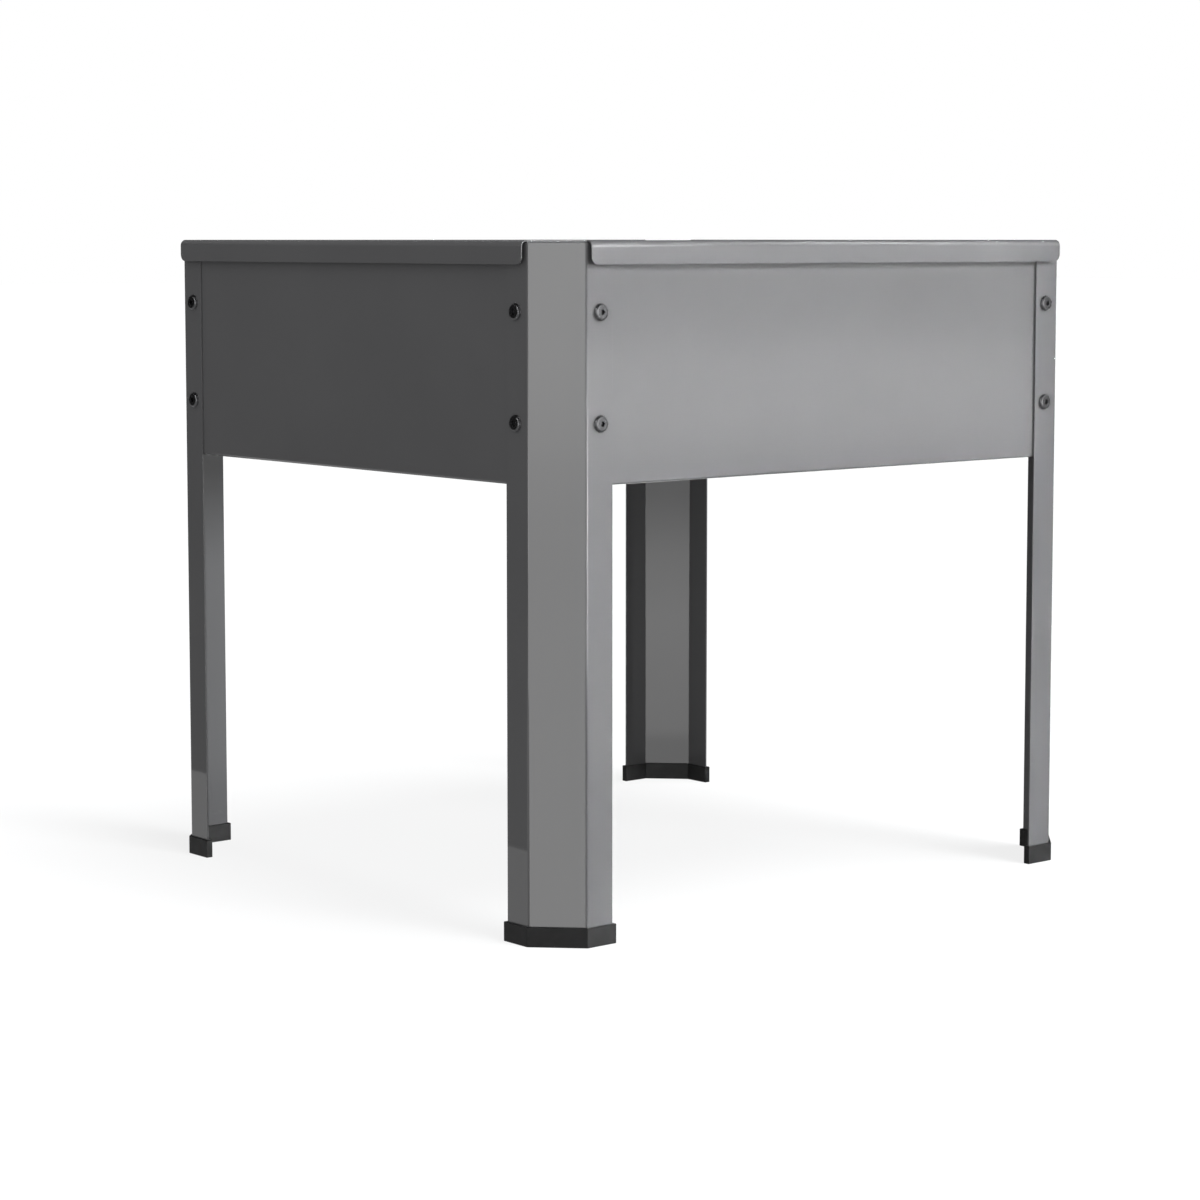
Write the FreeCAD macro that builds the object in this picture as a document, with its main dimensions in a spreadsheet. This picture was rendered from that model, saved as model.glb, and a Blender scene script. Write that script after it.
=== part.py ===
"""Raised planter on four folded legs, bolted together from powder coated sheet steel.

Frame: +Z up, origin on the ground at the centre of the footprint, +X to the right, the front towards -Y.
Every size is in millimetres and comes from the spreadsheet "Sizes".
"""
import FreeCAD, Part
import os
import Sketcher

SIZES = {
    # whole planter, over the outside of the legs and up to the top of the rim
    "width": 600.0,
    "depth": 550.0,
    "height": 550.0,
    # legs: a 45 degree corner face with a flange on each side, folded from one strip
    "corner_cut": 32.5,
    "leg_flange": 26.0,
    "leg_sheet": 1.5,
    "leg_below_rim": 2.0,
    "leg_bend": 2.5,
    # side panels: rim rolled out over the legs, floor ledge folded in at the bottom
    "panel_sheet": 1.0,
    "panel_drop": 189.0,
    "panel_end_gap": 1.5,
    "rim_proud": 4.5,
    "rim_drop": 18.5,
    "rim_roll": 5.0,
    "rim_inner_bend": 1.8,
    "rim_end_round": 6.0,
    "ledge_width": 22.0,
    "ledge_bend": 2.0,
    "ledge_end_round": 12.0,
    # floor pan and the bars that carry it
    "pan_gap": 1.2,
    "pan_height": 16.0,
    "pan_sheet": 1.0,
    "pan_bend": 2.0,
    "drain_dia": 8.0,
    "drain_pitch_x": 100.0,
    "drain_pitch_y": 120.0,
    "bar_spread": 200.0,
    "bar_width": 30.0,
    "bar_sheet": 1.2,
    "bar_bend": 2.0,
    "bar_end_gap": 1.0,
    # plastic caps under the legs
    "cap_wall": 2.1,
    "cap_fit": 0.15,
    "cap_floor": 3.0,
    "cap_height": 15.8,
    "cap_bend": 2.0,
    "cap_edge": 0.5,
    # M6 fasteners
    "bolt_inset": 14.0,
    "bolt_upper": 495.0,
    "bolt_lower": 409.0,
    "hole_dia": 6.6,
    "bolt_dia": 6.0,
    "bolt_length": 12.0,
    "bolt_tip": 0.7,
    "head_dia": 12.9,
    "head_height": 2.5,
    "head_dome": 1.8,
    "head_flange_dia": 13.6,
    "head_flange": 0.6,
    "socket_flats": 4.0,
    "socket_deep": 2.1,
    "washer_dia": 12.0,
    "washer_bore": 6.4,
    "washer_thick": 1.6,
    "washer_edge": 0.3,
    "nut_flats": 10.0,
    "nut_bore": 6.1,
    "nut_height": 5.0,
}

# Name, sign of x, sign of y and turn about Z of each corner, counted from the front left one.
CORNERS = [
    ("front_left", -1, -1, 0),
    ("front_right", 1, -1, 90),
    ("back_right", 1, 1, 180),
    ("back_left", -1, 1, 270),
]
# Name, turn about Z, the size across which the panel stands and the size along which it runs.
SIDES = [
    ("front_panel", 0, "depth", "width"),
    ("right_panel", 90, "width", "depth"),
    ("back_panel", 180, "depth", "width"),
    ("left_panel", 270, "width", "depth"),
]
DRAIN_COLUMNS = 6
DRAIN_ROWS = 4
UP = FreeCAD.Vector(0, 0, 1)
NEAR = 0.01
LEDGE = "height - panel_drop + panel_sheet"

doc = FreeCAD.newDocument("raised_planter")
sheet = doc.addObject("Spreadsheet::Sheet", "Sizes")
for row, (alias, size) in enumerate(SIZES.items(), start=1):
    sheet.set(f"A{row}", alias)
    sheet.set(f"B{row}", str(size))
    sheet.setAlias(f"B{row}", alias)
doc.recompute()


def linked(text):
    """The same formula with each size name pointing at its cell."""
    words = []
    for word in text.replace("(", "( ").replace(")", " )").split():
        words.append(f"Sizes.{word}" if word in SIZES else word)
    return " ".join(words)


def number(text):
    """The present value of a formula of size names."""
    found = sheet.evalExpression(linked(text))
    return float(getattr(found, "Value", found))


# ---------------------------------------------------------------- sketches and features

def new_body(label):
    body = doc.addObject("PartDesign::Body", label)
    body.Label = label
    return body


def new_sketch(body, name, plane, lift="0"):
    """Sketch on one of the body's own origin planes, lifted along the plane's normal."""
    sketch = body.newObject("Sketcher::SketchObject", name)
    origin_plane = [item for item in body.Origin.OriginFeatures if item.Role == plane][0]
    sketch.AttachmentSupport = [(origin_plane, "")]
    sketch.MapMode = "FlatFace"
    sketch.setExpression(".AttachmentOffset.Base.z", linked(lift))
    return sketch


def hold(sketch, axis, geometry, point, formula):
    """Fix one coordinate of a point to a formula of the sheet's sizes."""
    index = sketch.addConstraint(
        Sketcher.Constraint("Distance" + axis, -1, 1, geometry, point, number(formula)))
    sketch.setExpression(f"Constraints[{index}]", linked(formula))


def outline(sketch, corners):
    """Closed outline through corners given as pairs of formulas."""
    spots = [FreeCAD.Vector(number(across), number(along), 0) for across, along in corners]
    first = sketch.GeometryCount
    count = len(spots)
    for index, spot in enumerate(spots):
        sketch.addGeometry(Part.LineSegment(spot, spots[(index + 1) % count]))
    for index, (across, along) in enumerate(corners):
        line = first + index
        following = first + (index + 1) % count
        sketch.addConstraint(Sketcher.Constraint("Coincident", line, 2, following, 1))
        hold(sketch, "X", line, 1, across)
        hold(sketch, "Y", line, 1, along)


def circle(sketch, across, along, diameter):
    centre = FreeCAD.Vector(number(across), number(along), 0)
    ring = sketch.addGeometry(Part.Circle(centre, UP, number(diameter) / 2))
    hold(sketch, "X", ring, 3, across)
    hold(sketch, "Y", ring, 3, along)
    index = sketch.addConstraint(Sketcher.Constraint("Diameter", ring, number(diameter)))
    sketch.setExpression(f"Constraints[{index}]", linked(diameter))


def hexagon(sketch, flats):
    """Regular hexagon about the sketch's origin, sized across its flats."""
    corners = []
    for step in range(6):
        corners.append((f"{flats} / sqrt(3) * cos({60 * step} deg)",
                        f"{flats} / sqrt(3) * sin({60 * step} deg)"))
    outline(sketch, corners)


def pad(body, name, sketch, length, both_ways=False):
    feature = body.newObject("PartDesign::Pad", name)
    feature.Profile = sketch
    feature.setExpression("Length", linked(length))
    if both_ways:
        feature.SideType = "Symmetric"
    doc.recompute()


def check_cut(body, feature, before):
    if feature.Shape.Volume > before - 0.01:
        raise RuntimeError(f"{body.Label}: {feature.Name} removes nothing")


def pocket(body, name, sketch, length=None, upwards=False):
    """Pocket of a given depth, or right through both ways."""
    before = body.Tip.Shape.Volume
    feature = body.newObject("PartDesign::Pocket", name)
    feature.Profile = sketch
    if length is None:
        feature.SideType = "Symmetric"
        feature.Type = "ThroughAll"
    else:
        feature.setExpression("Length", linked(length))
        feature.Reversed = upwards
    doc.recompute()
    check_cut(body, feature, before)


def turned(body, name, sketch):
    """Revolution of the sketch about its own upright axis."""
    feature = body.newObject("PartDesign::Revolution", name)
    feature.Profile = sketch
    feature.ReferenceAxis = (sketch, ["V_Axis"])
    feature.Angle = 360
    doc.recompute()


def groove(body, name, sketch):
    """Groove of the sketch about its own upright axis."""
    before = body.Tip.Shape.Volume
    feature = body.newObject("PartDesign::Groove", name)
    feature.Profile = sketch
    feature.ReferenceAxis = (sketch, ["V_Axis"])
    feature.Angle = 360
    doc.recompute()
    check_cut(body, feature, before)


def round_edges(body, name, radius, wanted):
    """Fillet every edge of the body whose middle passes the test."""
    base = body.Tip
    names = []
    for index, edge in enumerate(base.Shape.Edges, start=1):
        if wanted(edge):
            names.append(f"Edge{index}")
    if not names:
        raise RuntimeError(f"{body.Label}: {name} finds no edge")
    feature = body.newObject("PartDesign::Fillet", name)
    feature.Base = (base, names)
    feature.setExpression("Radius", linked(radius))
    doc.recompute()


def edge_along(direction, places):
    """Test for a straight edge along X, Y or Z that crosses one of the given places."""
    keep = [axis for axis in "xyz" if axis != direction]
    targets = [(number(one), number(two)) for one, two in places]

    def wanted(edge):
        if edge.Curve.TypeId != "Part::GeomLine":
            return False
        start, end = edge.Vertexes[0].Point, edge.Vertexes[-1].Point
        for one, two in targets:
            if all(abs(getattr(spot, keep[0]) - one) < NEAR and abs(getattr(spot, keep[1]) - two) < NEAR
                   for spot in (start, end)):
                return True
        return False
    return wanted


def ring_at(radius, level):
    """Test for a full circle about Z of a given radius and level."""
    def wanted(edge):
        if edge.Curve.TypeId != "Part::GeomCircle":
            return False
        return abs(edge.Curve.Radius - radius) < NEAR and abs(edge.Curve.Center.z - level) < NEAR
    return wanted


def stand_at_corner(item, corner):
    """Place a piece drawn with the planter's outer corner at its own origin."""
    side_x, side_y, turn = corner[1:]
    item.setExpression(".Placement.Base.x", linked(f"{side_x} * width / 2"))
    item.setExpression(".Placement.Base.y", linked(f"{side_y} * depth / 2"))
    item.Placement.Rotation = FreeCAD.Rotation(UP, turn)


# ---------------------------------------------------------------- sections shared by legs and caps

def corner_section(sketch, grow):
    """Outline of the folded leg strip, grown all round; 0.41421 is the tangent of 22.5 degrees."""
    tip = f"corner_cut + leg_flange + {grow}"
    outer = f"-1 * ( {grow} )"
    outer_turn = f"corner_cut - 0.41421 * ( {grow} )"
    inner = f"leg_sheet + {grow}"
    inner_turn = f"corner_cut + 0.41421 * ( {inner} )"
    outline(sketch, [
        (tip, outer), (outer_turn, outer), (outer, outer_turn), (outer, tip),
        (inner, tip), (inner, inner_turn), (inner_turn, inner), (tip, inner),
    ])


# ---------------------------------------------------------------- legs

def make_leg(corner):
    leg = new_body("leg_" + corner[0])
    section = new_sketch(leg, "leg_section", "XY_Plane", "cap_floor")
    corner_section(section, "0")
    pad(leg, "strip", section, "height - leg_below_rim - cap_floor")
    outer_bends = [("corner_cut", "0"), ("0", "corner_cut")]
    round_edges(leg, "outer_bends", "leg_bend", edge_along("z", outer_bends))
    turn = "corner_cut + 0.41421 * leg_sheet"
    inner_bends = [(turn, "leg_sheet"), ("leg_sheet", turn)]
    round_edges(leg, "inner_bends", "leg_bend - leg_sheet", edge_along("z", inner_bends))
    for plane in ("XZ_Plane", "YZ_Plane"):
        holes = new_sketch(leg, "holes_" + plane[:2].lower(), plane)
        for level in ("bolt_lower", "bolt_upper"):
            circle(holes, "corner_cut + bolt_inset", level, "hole_dia")
        pocket(leg, "bolt_holes_" + plane[:2].lower(), holes)
    stand_at_corner(leg, corner)
    return leg


# ---------------------------------------------------------------- side panels

def make_panel(label, turn, across, along):
    panel = new_body(label)
    face = f"-1 * {across} / 2"
    lip = f"{face} - rim_proud"
    outside = f"{face} + leg_sheet"
    inside = f"{outside} + panel_sheet"
    bottom = "height - panel_drop"
    under = "height - panel_sheet"
    lip_end = "height - rim_drop"
    section = new_sketch(panel, "panel_section", "YZ_Plane")
    outline(section, [
        (lip, lip_end), (lip, "height"), (inside, "height"), (inside, f"{bottom} + panel_sheet"),
        (f"{inside} + ledge_width", f"{bottom} + panel_sheet"), (f"{inside} + ledge_width", bottom),
        (outside, bottom), (outside, under), (f"{lip} + panel_sheet", under), (f"{lip} + panel_sheet", lip_end),
    ])
    half_run = f"( {along} / 2 - corner_cut - panel_end_gap )"
    pad(panel, "strip", section, f"2 * {half_run}", both_ways=True)
    bends = [
        ("rim_roll_outer", "rim_roll", lip, "height"),
        ("rim_roll_inner", "rim_roll - panel_sheet", f"{lip} + panel_sheet", under),
        ("rim_bend_outer", "rim_inner_bend", inside, "height"),
        ("rim_bend_inner", "rim_inner_bend - panel_sheet", outside, under),
        ("ledge_bend_outer", "ledge_bend", outside, bottom),
        ("ledge_bend_inner", "ledge_bend - panel_sheet", inside, f"{bottom} + panel_sheet"),
    ]
    for name, radius, place, level in bends:
        round_edges(panel, name, radius, edge_along("x", [(place, level)]))
    rim_ends = [(half_run, lip_end), (f"-1 * {half_run}", lip_end)]
    round_edges(panel, "rim_ends", "rim_end_round", edge_along("y", rim_ends))
    ledge_ends = [(half_run, f"{inside} + ledge_width"), (f"-1 * {half_run}", f"{inside} + ledge_width")]
    round_edges(panel, "ledge_ends", "ledge_end_round", edge_along("z", ledge_ends))
    holes = new_sketch(panel, "holes", "XZ_Plane")
    for side in (-1, 1):
        for level in ("bolt_lower", "bolt_upper"):
            circle(holes, f"{side} * ( {along} / 2 - corner_cut - bolt_inset )", level, "hole_dia")
    pocket(panel, "bolt_holes", holes)
    panel.Placement.Rotation = FreeCAD.Rotation(UP, turn)
    return panel


# ---------------------------------------------------------------- floor pan and its bars

def pan_outline(sketch, inset):
    """Rectangle inside the panels, its corners cut off parallel to the leg corners."""
    half_x = f"( width / 2 - leg_sheet - panel_sheet - pan_gap - {inset} )"
    half_y = f"( depth / 2 - leg_sheet - panel_sheet - pan_gap - {inset} )"
    reach = f"( width / 2 + depth / 2 - corner_cut - 1.41421 * ( leg_sheet + pan_gap + {inset} ) )"
    corners = []
    for side_x, side_y in ((1, 1), (-1, 1), (-1, -1), (1, -1)):
        on_side = (f"{side_x} * {half_x}", f"{side_y} * ( {reach} - {half_x} )")
        on_end = (f"{side_x} * ( {reach} - {half_y} )", f"{side_y} * {half_y}")
        corners += [on_side, on_end] if side_x == side_y else [on_end, on_side]
    outline(sketch, corners)


def make_floor_pan():
    pan = new_body("floor_pan")
    blank = new_sketch(pan, "blank", "XY_Plane", LEDGE)
    pan_outline(blank, "0")
    pad(pan, "pressing", blank, "pan_height")
    top = number(f"{LEDGE} + pan_height")
    round_edges(pan, "top_edge", "pan_bend", lambda edge: abs(edge.CenterOfMass.z - top) < NEAR)
    hollow = new_sketch(pan, "hollow", "XY_Plane", LEDGE)
    pan_outline(hollow, "pan_sheet")
    pocket(pan, "underside", hollow, "pan_height - pan_sheet", upwards=True)
    drains = new_sketch(pan, "drains", "XY_Plane")
    for column in range(DRAIN_COLUMNS):
        for line in range(DRAIN_ROWS):
            across = f"{column - (DRAIN_COLUMNS - 1) / 2} * drain_pitch_x"
            along = f"{line - (DRAIN_ROWS - 1) / 2} * drain_pitch_y"
            circle(drains, across, along, "drain_dia")
    pocket(pan, "drain_holes", drains)
    return pan


def make_floor_bar(label, side):
    """Channel, open downwards, that carries the pan from the front ledge to the back one."""
    bar = new_body(label)
    top = f"{LEDGE} + pan_height - pan_sheet"
    half = "bar_width / 2"
    section = new_sketch(bar, "bar_section", "XZ_Plane")
    outline(section, [
        (f"-1 * {half}", LEDGE), (f"-1 * {half}", top), (half, top), (half, LEDGE),
        (f"{half} - bar_sheet", LEDGE), (f"{half} - bar_sheet", f"{top} - bar_sheet"),
        (f"bar_sheet - {half}", f"{top} - bar_sheet"), (f"bar_sheet - {half}", LEDGE),
    ])
    half_run = "depth / 2 - leg_sheet - panel_sheet - pan_gap - pan_sheet - bar_end_gap"
    pad(bar, "strip", section, f"2 * ( {half_run} )", both_ways=True)
    outer = [(half, top), (f"-1 * {half}", top)]
    round_edges(bar, "outer_bends", "bar_bend", edge_along("y", outer))
    inner = [(f"{half} - bar_sheet", f"{top} - bar_sheet"), (f"bar_sheet - {half}", f"{top} - bar_sheet")]
    round_edges(bar, "inner_bends", "bar_bend - bar_sheet", edge_along("y", inner))
    bar.setExpression(".Placement.Base.x", linked(f"{side} * bar_spread / 2"))
    return bar


# ---------------------------------------------------------------- foot caps

def make_foot_cap(corner):
    cap = new_body("foot_cap_" + corner[0])
    shell = new_sketch(cap, "shell_section", "XY_Plane")
    corner_section(shell, "cap_wall + cap_fit")
    pad(cap, "shell", shell, "cap_height")
    proud = "-1 * ( cap_wall + cap_fit )"
    turn = "corner_cut - 0.41421 * ( cap_wall + cap_fit )"
    round_edges(cap, "bends", "cap_bend", edge_along("z", [(turn, proud), (proud, turn)]))
    rims = (0.0, number("cap_height"))
    round_edges(cap, "rims", "cap_edge", lambda edge: min(abs(edge.CenterOfMass.z - rim) for rim in rims) < NEAR)
    socket = new_sketch(cap, "socket_section", "XY_Plane", "cap_height")
    corner_section(socket, "cap_fit")
    pocket(cap, "socket", socket, "cap_height - cap_floor")
    stand_at_corner(cap, corner)
    return cap


# ---------------------------------------------------------------- fasteners, drawn with the seat at z = 0

def make_bolt():
    bolt = new_body("bolt")
    profile = new_sketch(bolt, "profile", "XZ_Plane")
    outline(profile, [
        ("0", "-1 * bolt_length"), ("bolt_dia / 2 - bolt_tip", "-1 * bolt_length"),
        ("bolt_dia / 2", "bolt_tip - bolt_length"), ("bolt_dia / 2", "0"),
        ("head_flange_dia / 2", "0"), ("head_flange_dia / 2", "head_flange"),
        ("head_dia / 2", "head_flange"), ("head_dia / 2", "head_height"), ("0", "head_height"),
    ])
    turned(bolt, "blank", profile)
    rim = (number("head_flange_dia / 2"), number("head_flange"))
    shoulder = (number("head_dia / 2"), number("head_height"))
    round_edges(bolt, "dome", "head_dome", ring_at(*shoulder))
    round_edges(bolt, "flange_rim", "head_flange / 2", ring_at(*rim))
    socket = new_sketch(bolt, "socket", "XY_Plane", "head_height")
    hexagon(socket, "socket_flats")
    pocket(bolt, "hex_socket", socket, "socket_deep")
    return bolt


def make_washer():
    washer = new_body("washer")
    ring = new_sketch(washer, "ring", "XY_Plane")
    circle(ring, "0", "0", "washer_dia")
    circle(ring, "0", "0", "washer_bore")
    pad(washer, "disc", ring, "washer_thick")
    outer = number("washer_dia / 2")
    rims = [ring_at(outer, 0.0), ring_at(outer, number("washer_thick"))]
    round_edges(washer, "rims", "washer_edge", lambda edge: any(test(edge) for test in rims))
    return washer


def make_nut():
    nut = new_body("nut")
    blank = new_sketch(nut, "blank", "XY_Plane")
    hexagon(blank, "nut_flats")
    circle(blank, "0", "0", "nut_bore")
    pad(nut, "hexagon", blank, "nut_height")
    corners = new_sketch(nut, "corner_cuts", "XZ_Plane")
    outline(corners, [
        ("nut_flats / 2", "nut_height"), ("nut_flats", "nut_height"),
        ("nut_flats", "nut_height - nut_flats / 2 * tan(30 deg)"),
    ])
    groove(nut, "corner_chamfers", corners)
    return nut


def set_of_fasteners(label, master, depth, corner):
    """The four copies of a fastener at one corner, each a given depth behind the outer face."""
    copies = []
    for face, flip in (("front", 90), ("side", -90)):
        for level in ("bolt_lower", "bolt_upper"):
            copy = doc.addObject("App::Link", f"{label}_{face}_{level}")
            copy.LinkedObject = master
            along, inward = ("x", "y") if face == "front" else ("y", "x")
            copy.setExpression(f".Placement.Base.{along}", linked("corner_cut + bolt_inset"))
            copy.setExpression(f".Placement.Base.{inward}", linked(depth))
            copy.setExpression(".Placement.Base.z", linked(level))
            hinge = FreeCAD.Vector(1, 0, 0) if face == "front" else FreeCAD.Vector(0, 1, 0)
            copy.Placement.Rotation = FreeCAD.Rotation(hinge, flip)
            copies.append(copy)
    group = doc.addObject("Part::Compound", label)
    group.Label = label
    group.Links = copies
    stand_at_corner(group, corner)
    return group


# ---------------------------------------------------------------- the whole planter

def make_planter():
    pieces = [make_leg(corner) for corner in CORNERS]
    pieces += [make_panel(*side) for side in SIDES]
    pieces.append(make_floor_pan())
    pieces.append(make_floor_bar("floor_bar_left", -1))
    pieces.append(make_floor_bar("floor_bar_right", 1))
    pieces += [make_foot_cap(corner) for corner in CORNERS]
    bolt, washer, nut = make_bolt(), make_washer(), make_nut()
    behind_panel = "leg_sheet + panel_sheet"
    for corner in CORNERS:
        pieces.append(set_of_fasteners("bolts_" + corner[0], bolt, "0", corner))
        washer_seat = f"{behind_panel} + washer_thick"
        pieces.append(set_of_fasteners("washers_" + corner[0], washer, washer_seat, corner))
        nut_seat = f"{washer_seat} + nut_height"
        pieces.append(set_of_fasteners("nuts_" + corner[0], nut, nut_seat, corner))
    doc.recompute()
    return pieces


def write_parts(pieces):
    for item in doc.Objects:
        if "Invalid" in item.State or "Error" in item.State:
            raise RuntimeError(f"{item.Label} failed: {item.State}")
    for piece in pieces:
        if piece.Shape.isNull() or not piece.Shape.isValid():
            raise RuntimeError(f"{piece.Label} has no valid shape")
    os.makedirs("parts", exist_ok=True)
    for piece in pieces:
        piece.Shape.exportStep(f"parts/{piece.Label}.step")
        box = piece.Shape.BoundBox
        print(f"{piece.Label:24s} solids {len(piece.Shape.Solids)} volume {piece.Shape.Volume:10.1f}"
              f" x {box.XMin:8.2f} {box.XMax:8.2f} y {box.YMin:8.2f} {box.YMax:8.2f}"
              f" z {box.ZMin:7.2f} {box.ZMax:7.2f}")


write_parts(make_planter())
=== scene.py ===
"""Looks of the raised planter: powder coated sheet steel, moulded foot caps and plated M6 fasteners.

The CAD nodes keep their shapes. This script softens their sheet edges, gives every slot its material,
and lights the planter on a pale floor. Lengths are in metres and angles in degrees.
"""
import math
import bpy
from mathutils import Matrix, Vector


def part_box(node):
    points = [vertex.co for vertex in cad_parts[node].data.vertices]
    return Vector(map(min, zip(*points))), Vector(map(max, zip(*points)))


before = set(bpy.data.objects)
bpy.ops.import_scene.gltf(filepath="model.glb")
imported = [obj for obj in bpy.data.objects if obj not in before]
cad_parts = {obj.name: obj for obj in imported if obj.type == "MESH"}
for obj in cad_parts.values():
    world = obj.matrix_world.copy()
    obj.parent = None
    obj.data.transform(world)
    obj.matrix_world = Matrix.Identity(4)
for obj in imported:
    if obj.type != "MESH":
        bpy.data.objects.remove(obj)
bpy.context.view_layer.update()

# ---------------------------------------------------------------- camera, as the photograph stands
CAMERA_TURN = 40.01          # to the right of the front panel's square-on view
CAMERA_PITCH = 5.576         # below the horizon
CAMERA_LENS = 92.86          # millimetres
CAMERA_SENSOR = 36.0         # millimetres wide
CAMERA_SHIFT = -0.05         # share of the frame
CAMERA_BACK = 2.3532         # from the near corner, along the view's level direction
CAMERA_LEFT = -0.0351        # from the near corner, across the view
CAMERA_HEIGHT = 0.5518
CAMERA_REACH = 60.0          # how far it sees

# ---------------------------------------------------------------- slots and their nodes
SLOTS = {
    "powder_coat": ("leg_", "front_panel", "right_panel", "back_panel", "left_panel", "floor_"),
    "cap_plastic": ("foot_cap_",),
    "black_steel": ("bolts_",),
    "zinc_plate": ("washers_", "nuts_"),
}
EDGE_ROUND = {"powder_coat": 0.00012, "cap_plastic": 0.0003, "black_steel": 0.0001, "zinc_plate": 0.0001}
EDGE_STEPS = 2
SHARP_ANGLE = 35
WELD_REACH = 1e-6

# ---------------------------------------------------------------- stage
FLOOR_REACH = 30.0           # half the side of the floor
FLOOR_GREY = 0.03
FLOOR_GLOW = 0.835           # keeps the shadows as pale as in a bright studio
TABLE = ((-0.9, -1.0), (1.2, 1.0))
TABLE_DROP = 0.0005          # under the floor
TABLE_GREY = 0.3
GLINT = ((-0.54, -0.25), (-0.302, 0.7))
GLINT_DROP = 0.001
GLINT_GLOW = 0.9
CARD_HALF = (0.06, -0.066)   # from the planter's middle to the card's right end
CARD_FOOT, CARD_HEAD = -0.06, 0.34
CARD_GLOW = [(-0.025, 2.3), (-0.01, 2.9), (0.12, 3.3), (0.19, 2.9), (0.26, 1.9)]
CARD_TOP_GLOW = 4.0
FLAG_GAP = 0.003             # between the far leg and the flag
FLAG_WIDTH = 0.09
FLAG_FOOT, FLAG_HEAD = -0.02, 0.32

SUN_COLOUR = (0.965, 0.985, 1.0)
SUN_AIM = Vector((0.0, 0.0, 0.25))
SUN_DISTANCE = 4.0

AMBIENT = 0.70               # even light on matt surfaces
BACKDROP = 1.0               # what the camera sees beyond the floor

# What the gloss mirrors, in patches: brightness by elevation, and share by azimuth.
MIRRORED = {
    "soft box on the right, as low as the floor's edge": (
        [(-13.0, 0.0), (-10.2, 0.0), (-9.6, 0.5), (-8.4, 0.7), (-6.0, 0.85), (-4.1, 1.1), (-3.3, 1.95),
         (-2.1, 1.95), (-1.6, 0.95), (-0.6, 0.85), (-0.4, 2.0), (5.0, 2.0), (8.0, 0.0), (90.0, 0.0)],
        [(-15.0, 0.0), (12.0, 1.0), (47.7, 1.0), (48.1, 0.05), (60.0, 0.1), (90.0, 0.0)]),
    "the same box above, where the rolled rims look": (
        [(5.0, 0.0), (8.0, 0.9), (17.0, 1.0), (28.0, 3.1), (42.0, 3.0), (52.0, 0.2), (90.0, 0.0)],
        [(-15.0, 0.0), (12.0, 1.0), (75.0, 1.0), (95.0, 0.0)]),
    "the camera's side": (
        [(-17.0, 0.0), (-14.0, 3.5), (-5.5, 3.5), (-2.2, 4.5), (6.0, 4.5), (16.0, 2.0), (35.0, 0.2),
         (90.0, 0.0)],
        [(-100.0, 0.0), (-65.0, 1.0), (-46.0, 1.0), (-38.0, 0.3), (5.0, 0.0)]),
    "narrow strip light, which draws the bright line down the near leg's bend": (
        [(-17.0, 0.0), (-14.0, 15.0), (-9.0, 15.0), (-4.0, 22.0), (3.0, 20.0), (10.0, 13.0), (14.0, 0.0)],
        [(8.0, 0.0), (12.0, 1.0), (26.0, 1.0), (30.0, 0.0)]),
    "small lamp that glints on the bolt heads of the left side": (
        [(24.0, 0.0), (28.0, 14.0), (42.0, 14.0), (46.0, 0.0)],
        [(-97.0, 0.0), (-92.0, 1.0), (-78.0, 1.0), (-72.0, 0.0)]),
    "everywhere, with the floor below": (
        [(-90.0, 0.9), (-17.0, 0.9), (-13.0, 0.35), (-8.0, 0.15), (-4.5, 0.02), (5.0, 0.05), (20.0, 0.15),
         (90.0, 0.15)],
        [(-180.0, 1.0), (180.0, 1.0)]),
}


# ---------------------------------------------------------------- paint, plastic and plating
class Shader:
    """A material's node tree, with short ways to add and join nodes."""

    def __init__(self, name):
        self.material = bpy.data.materials.new(name)
        self.material.use_nodes = True
        self.tree = self.material.node_tree
        self.surface = self.tree.nodes["Principled BSDF"]
        self.place = self.add("ShaderNodeTexCoord").outputs["Object"]

    def add(self, kind, **inputs):
        node = self.tree.nodes.new(kind)
        for name, value in inputs.items():
            self.feed(node, name.replace("_", " "), value)
        return node

    def feed(self, node, name, value):
        socket = node.inputs[name]
        if isinstance(value, bpy.types.NodeSocket):
            self.tree.links.new(value, socket)
        else:
            socket.default_value = value

    def noise(self, scale, detail=2.0, roughness=0.5):
        """Noise of so many cells per metre."""
        node = self.add("ShaderNodeTexNoise", Vector=self.place, Scale=scale, Detail=detail,
                        Roughness=roughness)
        return node.outputs["Fac"]

    def ramp(self, value, low, high, at=(0.3, 0.7)):
        """Value turned into colours from low to high."""
        node = self.add("ShaderNodeValToRGB", Fac=value)
        for element, position, colour in zip(node.color_ramp.elements, at, (low, high)):
            element.position = position
            element.color = (*colour, 1.0)
        return node.outputs["Color"]

    def spread(self, value, low, high, at=(0.3, 0.7)):
        """Value turned into numbers from low to high."""
        node = self.add("ShaderNodeMapRange", Value=value, From_Min=at[0], From_Max=at[1], To_Min=low,
                        To_Max=high)
        return node.outputs["Result"]

    def bump(self, height, depth, strength, under=None):
        """Bump of a given depth, on top of another bump."""
        node = self.add("ShaderNodeBump", Height=height, Distance=depth, Strength=strength)
        if under is not None:
            self.feed(node, "Normal", under)
        return node.outputs["Normal"]

    def finish(self, **inputs):
        for name, value in inputs.items():
            self.feed(self.surface, name.replace("_", " "), value)
        return self.material


def tinted(colour, factor):
    return tuple(channel * factor for channel in colour)


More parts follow.
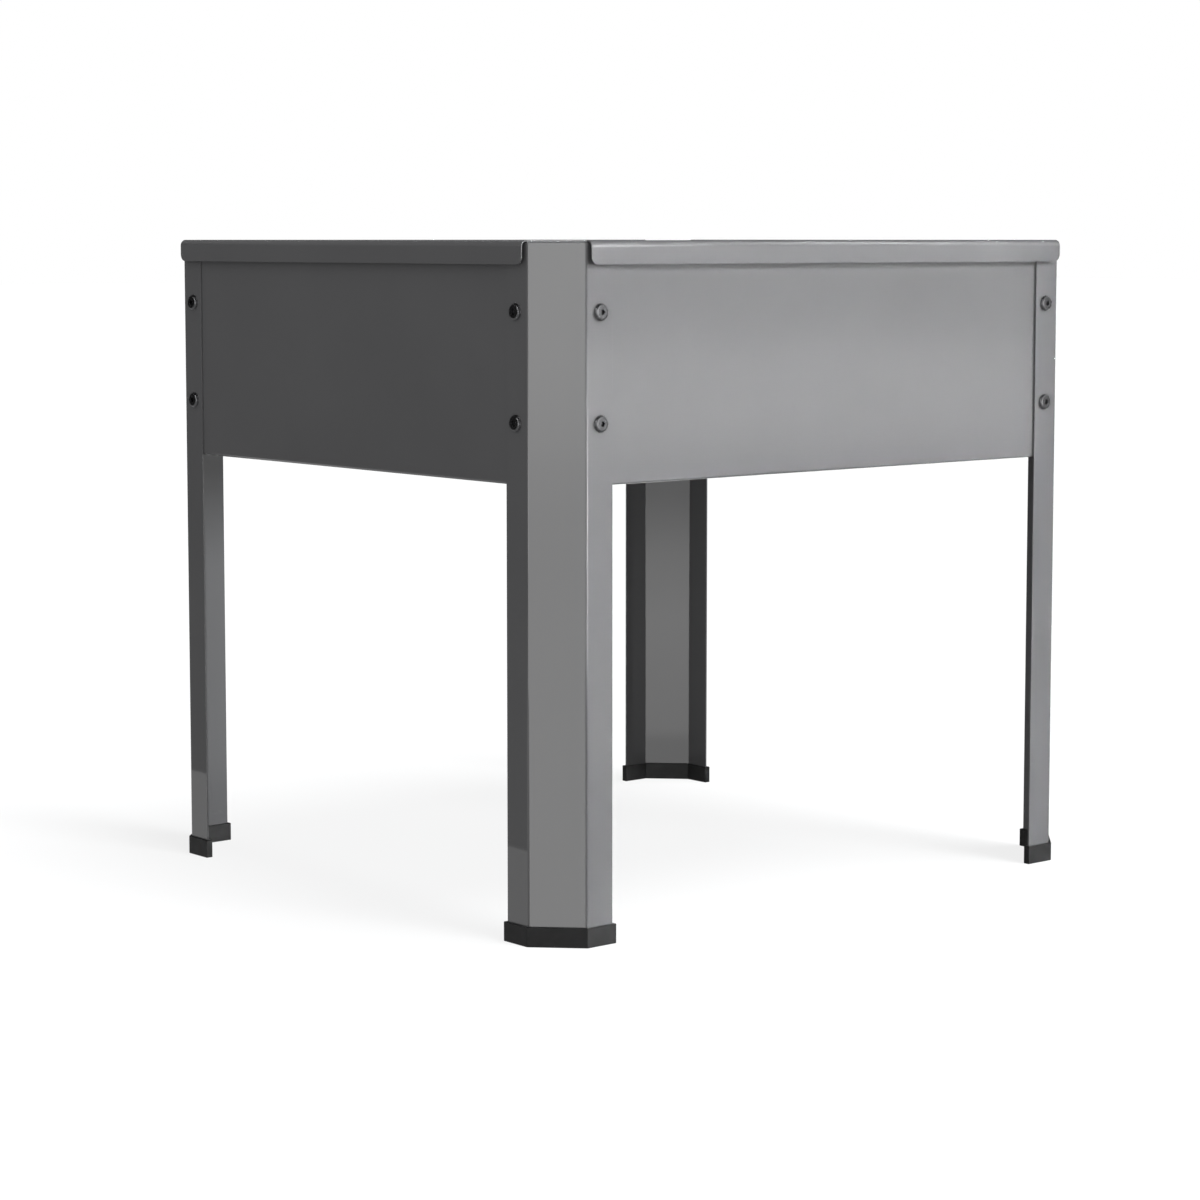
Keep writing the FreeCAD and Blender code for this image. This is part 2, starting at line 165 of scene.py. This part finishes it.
def powder_coat():
    """Smooth graphite grey powder coat: slow waves, fine orange peel, faint mottling, glossy skin."""
    shade = Shader("powder_coat")
    graphite = (0.118, 0.118, 0.121)
    mottle = shade.noise(9.0, detail=4.0)
    colour = shade.ramp(mottle, tinted(graphite, 0.97), tinted(graphite, 1.03))
    waves = shade.noise(14.0, detail=1.0)
    peel = shade.noise(420.0, detail=3.0, roughness=0.55)
    relief = shade.bump(waves, depth=0.0002, strength=0.5)
    relief = shade.bump(peel, depth=0.000006, strength=1.0, under=relief)
    body = shade.spread(shade.noise(35.0, detail=3.0), 0.42, 0.50)
    return shade.finish(Base_Color=colour, Roughness=body, Specular_IOR_Level=0.03, Coat_Weight=1.0,
                        Coat_Roughness=0.035, Coat_IOR=1.5, Normal=relief, Coat_Normal=relief)


def cap_plastic():
    """Moulded black plastic with a fine spark-eroded grain and a dry sheen."""
    shade = Shader("cap_plastic")
    cloud = shade.noise(60.0, detail=4.0)
    colour = shade.ramp(cloud, (0.013, 0.013, 0.013), (0.021, 0.021, 0.0215))
    rough = shade.spread(shade.noise(180.0, detail=3.0), 0.42, 0.52)
    grain = shade.noise(2600.0, detail=2.0, roughness=0.7)
    relief = shade.bump(grain, depth=0.00003, strength=0.8)
    return shade.finish(Base_Color=colour, Roughness=rough, Specular_IOR_Level=0.13, Normal=relief)


def plated(name, cloud, colours, finish, roughness, pits):
    """Plated steel: cloudy colour, uneven finish and fine pits, each noise as (cells per metre, detail)."""
    shade = Shader(name)
    colour = shade.ramp(shade.noise(*cloud), *colours)
    rough = shade.spread(shade.noise(*finish), *roughness)
    relief = shade.bump(shade.noise(*pits), depth=0.00001, strength=0.6)
    return shade.finish(Base_Color=colour, Metallic=1.0, Roughness=rough, Normal=relief)


def black_steel():
    """Dark plated steel of the bolts, with a smoky sheen."""
    return plated("black_steel", cloud=(300.0, 3.0), colours=((0.06, 0.06, 0.062), (0.085, 0.085, 0.088)),
                  finish=(900.0, 2.0), roughness=(0.24, 0.34), pits=(1500.0, 2.0))


def zinc_plate():
    """Bright zinc plating with a faintly blue, cloudy passivation."""
    return plated("zinc_plate", cloud=(220.0, 4.0), colours=((0.58, 0.60, 0.63), (0.68, 0.68, 0.66)),
                  finish=(700.0, 3.0), roughness=(0.28, 0.42), pits=(1800.0, 2.0))


MAKERS = {"powder_coat": powder_coat, "cap_plastic": cap_plastic, "black_steel": black_steel,
          "zinc_plate": zinc_plate}


def dress_node(node, slot, material):
    """One CAD node's material, and small rounds on its sharp edges."""
    node.data.materials.clear()
    node.data.materials.append(material)
    weld = node.modifiers.new("weld", "WELD")
    weld.merge_threshold = WELD_REACH
    bevel = node.modifiers.new("edge_rounds", "BEVEL")
    bevel.width = EDGE_ROUND[slot]
    bevel.segments = EDGE_STEPS
    bevel.limit_method = "ANGLE"
    bevel.angle_limit = math.radians(SHARP_ANGLE)
    bevel.harden_normals = True


def nodes_named(starts):
    return [node for name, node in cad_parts.items() if name.startswith(starts)]


def dress_frame():
    for slot, starts in SLOTS.items():
        material = MAKERS[slot]()
        for node in nodes_named(starts):
            dress_node(node, slot, material)


# ---------------------------------------------------------------- floor, cards and lights
def matt(name, grey, glow):
    """Matt surface that also glows white."""
    shade = Shader(name)
    return shade.finish(Base_Color=(grey, grey, grey, 1.0), Roughness=0.9, Specular_IOR_Level=0.0,
                        Emission_Color=(1.0, 1.0, 1.0, 1.0), Emission_Strength=glow)


def stage_sheet(name, corners, material, unseen_by):
    """Four-cornered sheet of the stage, unseen by some kinds of ray."""
    mesh = bpy.data.meshes.new(name)
    mesh.from_pydata(corners, [], [(0, 1, 2, 3)])
    item = bpy.data.objects.new(name, mesh)
    item.data.materials.append(material)
    bpy.context.scene.collection.objects.link(item)
    for ray in unseen_by:
        setattr(item, "visible_" + ray, False)
    return item


def level_sheet(name, low, high, height, material, unseen_by):
    corners = [(low[0], low[1], height), (high[0], low[1], height), (high[0], high[1], height),
               (low[0], high[1], height)]
    return stage_sheet(name, corners, material, unseen_by)


def upright_sheet(name, start, end, foot, head, material):
    """Upright card that only gloss sees."""
    corners = [(*start, foot), (*end, foot), (*end, head), (*start, head)]
    return stage_sheet(name, corners, material, ("camera", "diffuse", "shadow", "transmission"))


def inner_card():
    """Card under the planter that the inside of the far leg mirrors instead of the near leg."""
    shade = Shader("card")
    height = shade.add("ShaderNodeSeparateXYZ", Vector=shade.place).outputs["Z"]
    glow = shade.add("ShaderNodeValToRGB", Fac=shade.spread(height, 0.0, 1.0, at=(CARD_FOOT, CARD_HEAD)))
    elements = glow.color_ramp.elements
    for level, value in CARD_GLOW[1:-1]:
        elements.new((level - CARD_FOOT) / (CARD_HEAD - CARD_FOOT))
    for element, (level, value) in zip(elements, CARD_GLOW):
        element.position = (level - CARD_FOOT) / (CARD_HEAD - CARD_FOOT)
        element.color = (value / CARD_TOP_GLOW,) * 3 + (1.0,)
    material = shade.finish(Base_Color=(0.0, 0.0, 0.0, 1.0), Specular_IOR_Level=0.0,
                            Emission_Color=glow.outputs["Color"], Emission_Strength=CARD_TOP_GLOW)
    left_end = tuple(-length for length in CARD_HALF)
    upright_sheet("card", left_end, CARD_HALF, CARD_FOOT, CARD_HEAD, material)


def far_flag():
    """Black flag beside the far leg that keeps the soft box out of its inner flange."""
    low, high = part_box("leg_back_right")
    side = high.x + FLAG_GAP
    upright_sheet("flag", (side, low.y - FLAG_WIDTH), (side, low.y + FLAG_GAP), FLAG_FOOT, FLAG_HEAD,
                  matt("flag", 0.0, 0.0))


def outward(azimuth, elevation):
    """Direction from the planter; azimuth 0 is in front of the front panel, 90 at its right."""
    turn, rise = math.radians(azimuth), math.radians(elevation)
    return Vector((math.sin(turn) * math.cos(rise), -math.cos(turn) * math.cos(rise), math.sin(rise)))


def group_of(name, items):
    group = bpy.data.collections.new(name)
    for item in items:
        group.objects.link(item)
    return group


def add_sun(name, azimuth, elevation, energy, width, lights, shaded_by=None):
    """Sun of a given apparent width that lights only some objects, and may be shaded by only some."""
    out = outward(azimuth, elevation)
    lamp = bpy.data.lights.new(name, "SUN")
    lamp.energy = energy
    lamp.angle = math.radians(width)
    lamp.color = SUN_COLOUR
    sun = bpy.data.objects.new(name, lamp)
    sun.location = SUN_AIM + out * SUN_DISTANCE
    sun.rotation_euler = out.to_track_quat("Z", "Y").to_euler()
    bpy.context.scene.collection.objects.link(sun)
    sun.visible_glossy = False
    sun.light_linking.receiver_collection = group_of(name + "_lights", lights)
    if shaded_by is not None:
        sun.light_linking.blocker_collection = group_of(name + "_shadows", shaded_by)


def light_stage():
    floor = level_sheet("floor", (-FLOOR_REACH, -FLOOR_REACH), (FLOOR_REACH, FLOOR_REACH), 0.0,
                        matt("floor", FLOOR_GREY, FLOOR_GLOW), unseen_by=("diffuse", "glossy"))
    # The floor's light on the planter comes from a smaller, paler table just under it.
    level_sheet("table", *TABLE, -TABLE_DROP, matt("table", TABLE_GREY, 0.0), unseen_by=("camera", "glossy"))
    # The left side of the legs mirrors a bright patch of floor low down.
    level_sheet("glint", *GLINT, -GLINT_DROP, matt("glint", 0.0, GLINT_GLOW), unseen_by=("camera", "diffuse"))
    inner_card()
    far_flag()
    make_world()
    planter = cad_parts.values()
    nearer = [node for node in planter if not node.name.startswith("leg_back_")]
    add_sun("key", azimuth=50.0, elevation=26.0, energy=4.7, width=12.0, lights=nearer)
    add_sun("side", azimuth=52.0, elevation=5.0, energy=4.1, width=8.0, lights=planter)
    add_sun("overhead", azimuth=28.0, elevation=69.0, energy=15.5, width=33.0, lights=[floor])
    add_sun("sweep", azimuth=10.0, elevation=36.0, energy=12.0, width=24.0, lights=[floor],
            shaded_by=nodes_named(("leg_", "foot_cap_")))


# ---------------------------------------------------------------- world
class World:
    """The studio round the planter, as light that depends on the direction it comes from."""

    def __init__(self):
        self.world = bpy.data.worlds.new("studio")
        bpy.context.scene.world = self.world
        self.world.use_nodes = True
        self.tree = self.world.node_tree
        self.tree.nodes.clear()
        direction = self.tree.nodes.new("ShaderNodeSeparateXYZ")
        self.join(self.tree.nodes.new("ShaderNodeTexCoord").outputs["Generated"], direction.inputs[0])
        x, y, z = direction.outputs
        self.elevation = self.sum("DEGREES", self.sum("ARCSINE", z))
        self.azimuth = self.sum("DEGREES", self.sum("ARCTAN2", x, self.sum("MULTIPLY", y, -1.0)))

    def join(self, source, target):
        self.tree.links.new(source, target)

    def sum(self, operation, *terms):
        node = self.tree.nodes.new("ShaderNodeMath")
        node.operation = operation
        for term, socket in zip(terms, node.inputs):
            if isinstance(term, bpy.types.NodeSocket):
                self.join(term, socket)
            else:
                socket.default_value = term
        return node.outputs[0]

    def profile(self, value, stops):
        """Value of a smooth line through (place, level) stops, held level beyond its ends."""
        first, last = stops[0][0], stops[-1][0]
        top = max(level for place, level in stops)
        ramp = self.tree.nodes.new("ShaderNodeValToRGB")
        ramp.color_ramp.interpolation = "EASE"
        self.join(self.sum("DIVIDE", self.sum("SUBTRACT", value, first), last - first), ramp.inputs[0])
        elements = ramp.color_ramp.elements
        for place, level in stops[1:-1]:
            elements.new((place - first) / (last - first))
        for element, (place, level) in zip(elements, stops):
            element.position = (place - first) / (last - first)
            element.color = (level / top,) * 3 + (1.0,)
        return self.sum("MULTIPLY", ramp.outputs[0], top)

    def background(self, level):
        node = self.tree.nodes.new("ShaderNodeBackground")
        node.inputs["Color"].default_value = (1.0, 1.0, 1.0, 1.0)
        if isinstance(level, bpy.types.NodeSocket):
            self.join(level, node.inputs["Strength"])
        else:
            node.inputs["Strength"].default_value = level
        return node.outputs[0]

    def choose(self, ray, other, chosen):
        """One light for a kind of ray, and another for the rest."""
        node = self.tree.nodes.new("ShaderNodeMixShader")
        for source, socket in zip((ray, other, chosen), node.inputs):
            self.join(source, socket)
        return node.outputs[0]

    def finish(self, backdrop, ambient, mirrored):
        """White backdrop, even light for matt surfaces, and what gloss mirrors."""
        path = self.tree.nodes.new("ShaderNodeLightPath").outputs
        light = self.choose(path["Is Glossy Ray"], self.background(ambient), self.background(mirrored))
        light = self.choose(path["Is Camera Ray"], light, self.background(backdrop))
        self.join(light, self.tree.nodes.new("ShaderNodeOutputWorld").inputs["Surface"])


def make_world():
    world = World()
    total = 0.0
    for levels, sides in MIRRORED.values():
        share = world.profile(world.azimuth, sides)
        patch = world.sum("MULTIPLY", share, world.profile(world.elevation, levels))
        total = world.sum("ADD", patch, total)
    world.finish(BACKDROP, AMBIENT, total)


# ---------------------------------------------------------------- camera
def place_camera():
    turn, pitch = math.radians(CAMERA_TURN), math.radians(CAMERA_PITCH)
    onward = Vector((math.sin(turn), math.cos(turn), 0.0))
    across = Vector((math.cos(turn), -math.sin(turn), 0.0))
    near_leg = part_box("leg_front_left")[0]
    lens = bpy.data.cameras.new("camera")
    lens.sensor_width = CAMERA_SENSOR
    lens.lens = CAMERA_LENS
    lens.shift_y = CAMERA_SHIFT
    lens.clip_end = CAMERA_REACH
    camera = bpy.data.objects.new("camera", lens)
    near_corner = Vector((near_leg.x, near_leg.y, CAMERA_HEIGHT))
    camera.location = near_corner - onward * CAMERA_BACK - across * CAMERA_LEFT
    camera.rotation_euler = (math.radians(90) - pitch, 0.0, -turn)
    bpy.context.scene.collection.objects.link(camera)
    bpy.context.scene.camera = camera


bpy.context.scene.view_settings.view_transform = "Standard"
dress_frame()
light_stage()
place_camera()
